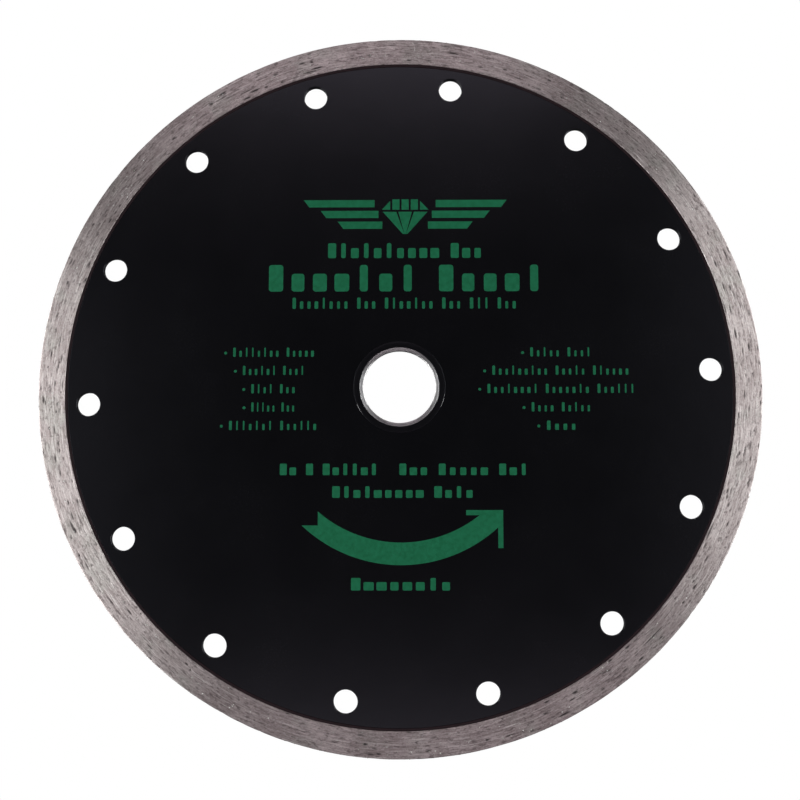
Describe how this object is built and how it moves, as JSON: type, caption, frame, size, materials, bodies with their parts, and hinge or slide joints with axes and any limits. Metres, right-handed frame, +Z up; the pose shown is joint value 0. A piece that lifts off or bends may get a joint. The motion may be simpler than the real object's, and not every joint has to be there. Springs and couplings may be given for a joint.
{
  "type": "diamond blade",
  "caption": "Continuous-rim diamond saw blade: thin steel disc with a sintered rim, ring of cooling holes, and removable bore rings.",
  "frame": {"origin": "centre of the arbor bore, halfway through the blade's thickness", "axes": "+Y along the spin axis, away from the printed face; +Z up as the print reads; +X to the right seen from the printed face"},
  "size_m": [0.2, 0.0022, 0.2],
  "materials": {
    "black_paint": "satin black paint with fine texture",
    "bronze_bond": "dull sintered bronze",
    "sintered_rim": "ground round the rim, pitted, with exposed grit",
    "black_bush": "satin black coating",
    "bare_steel": "turned bright steel",
    "green_ink": "thin screen-printed ink"
  },
  "bodies": {
    "blade": {"steel_core": "black_paint", "rim_backing": "bronze_bond", "diamond_rim": "sintered_rim"},
    "bush": {"reducing_bush": "black_bush"},
    "ring": {"bore_ring": "bare_steel"}
  },
  "joints": [
    {"name": "bush_push_out", "type": "slide", "parent": "blade", "child": "bush", "axis": [0, 1, 0], "range_m": [-0.01, 0.01]},
    {"name": "ring_push_out", "type": "slide", "parent": "bush", "child": "ring", "axis": [0, 1, 0], "range_m": [-0.01, 0.01]}
  ]
}
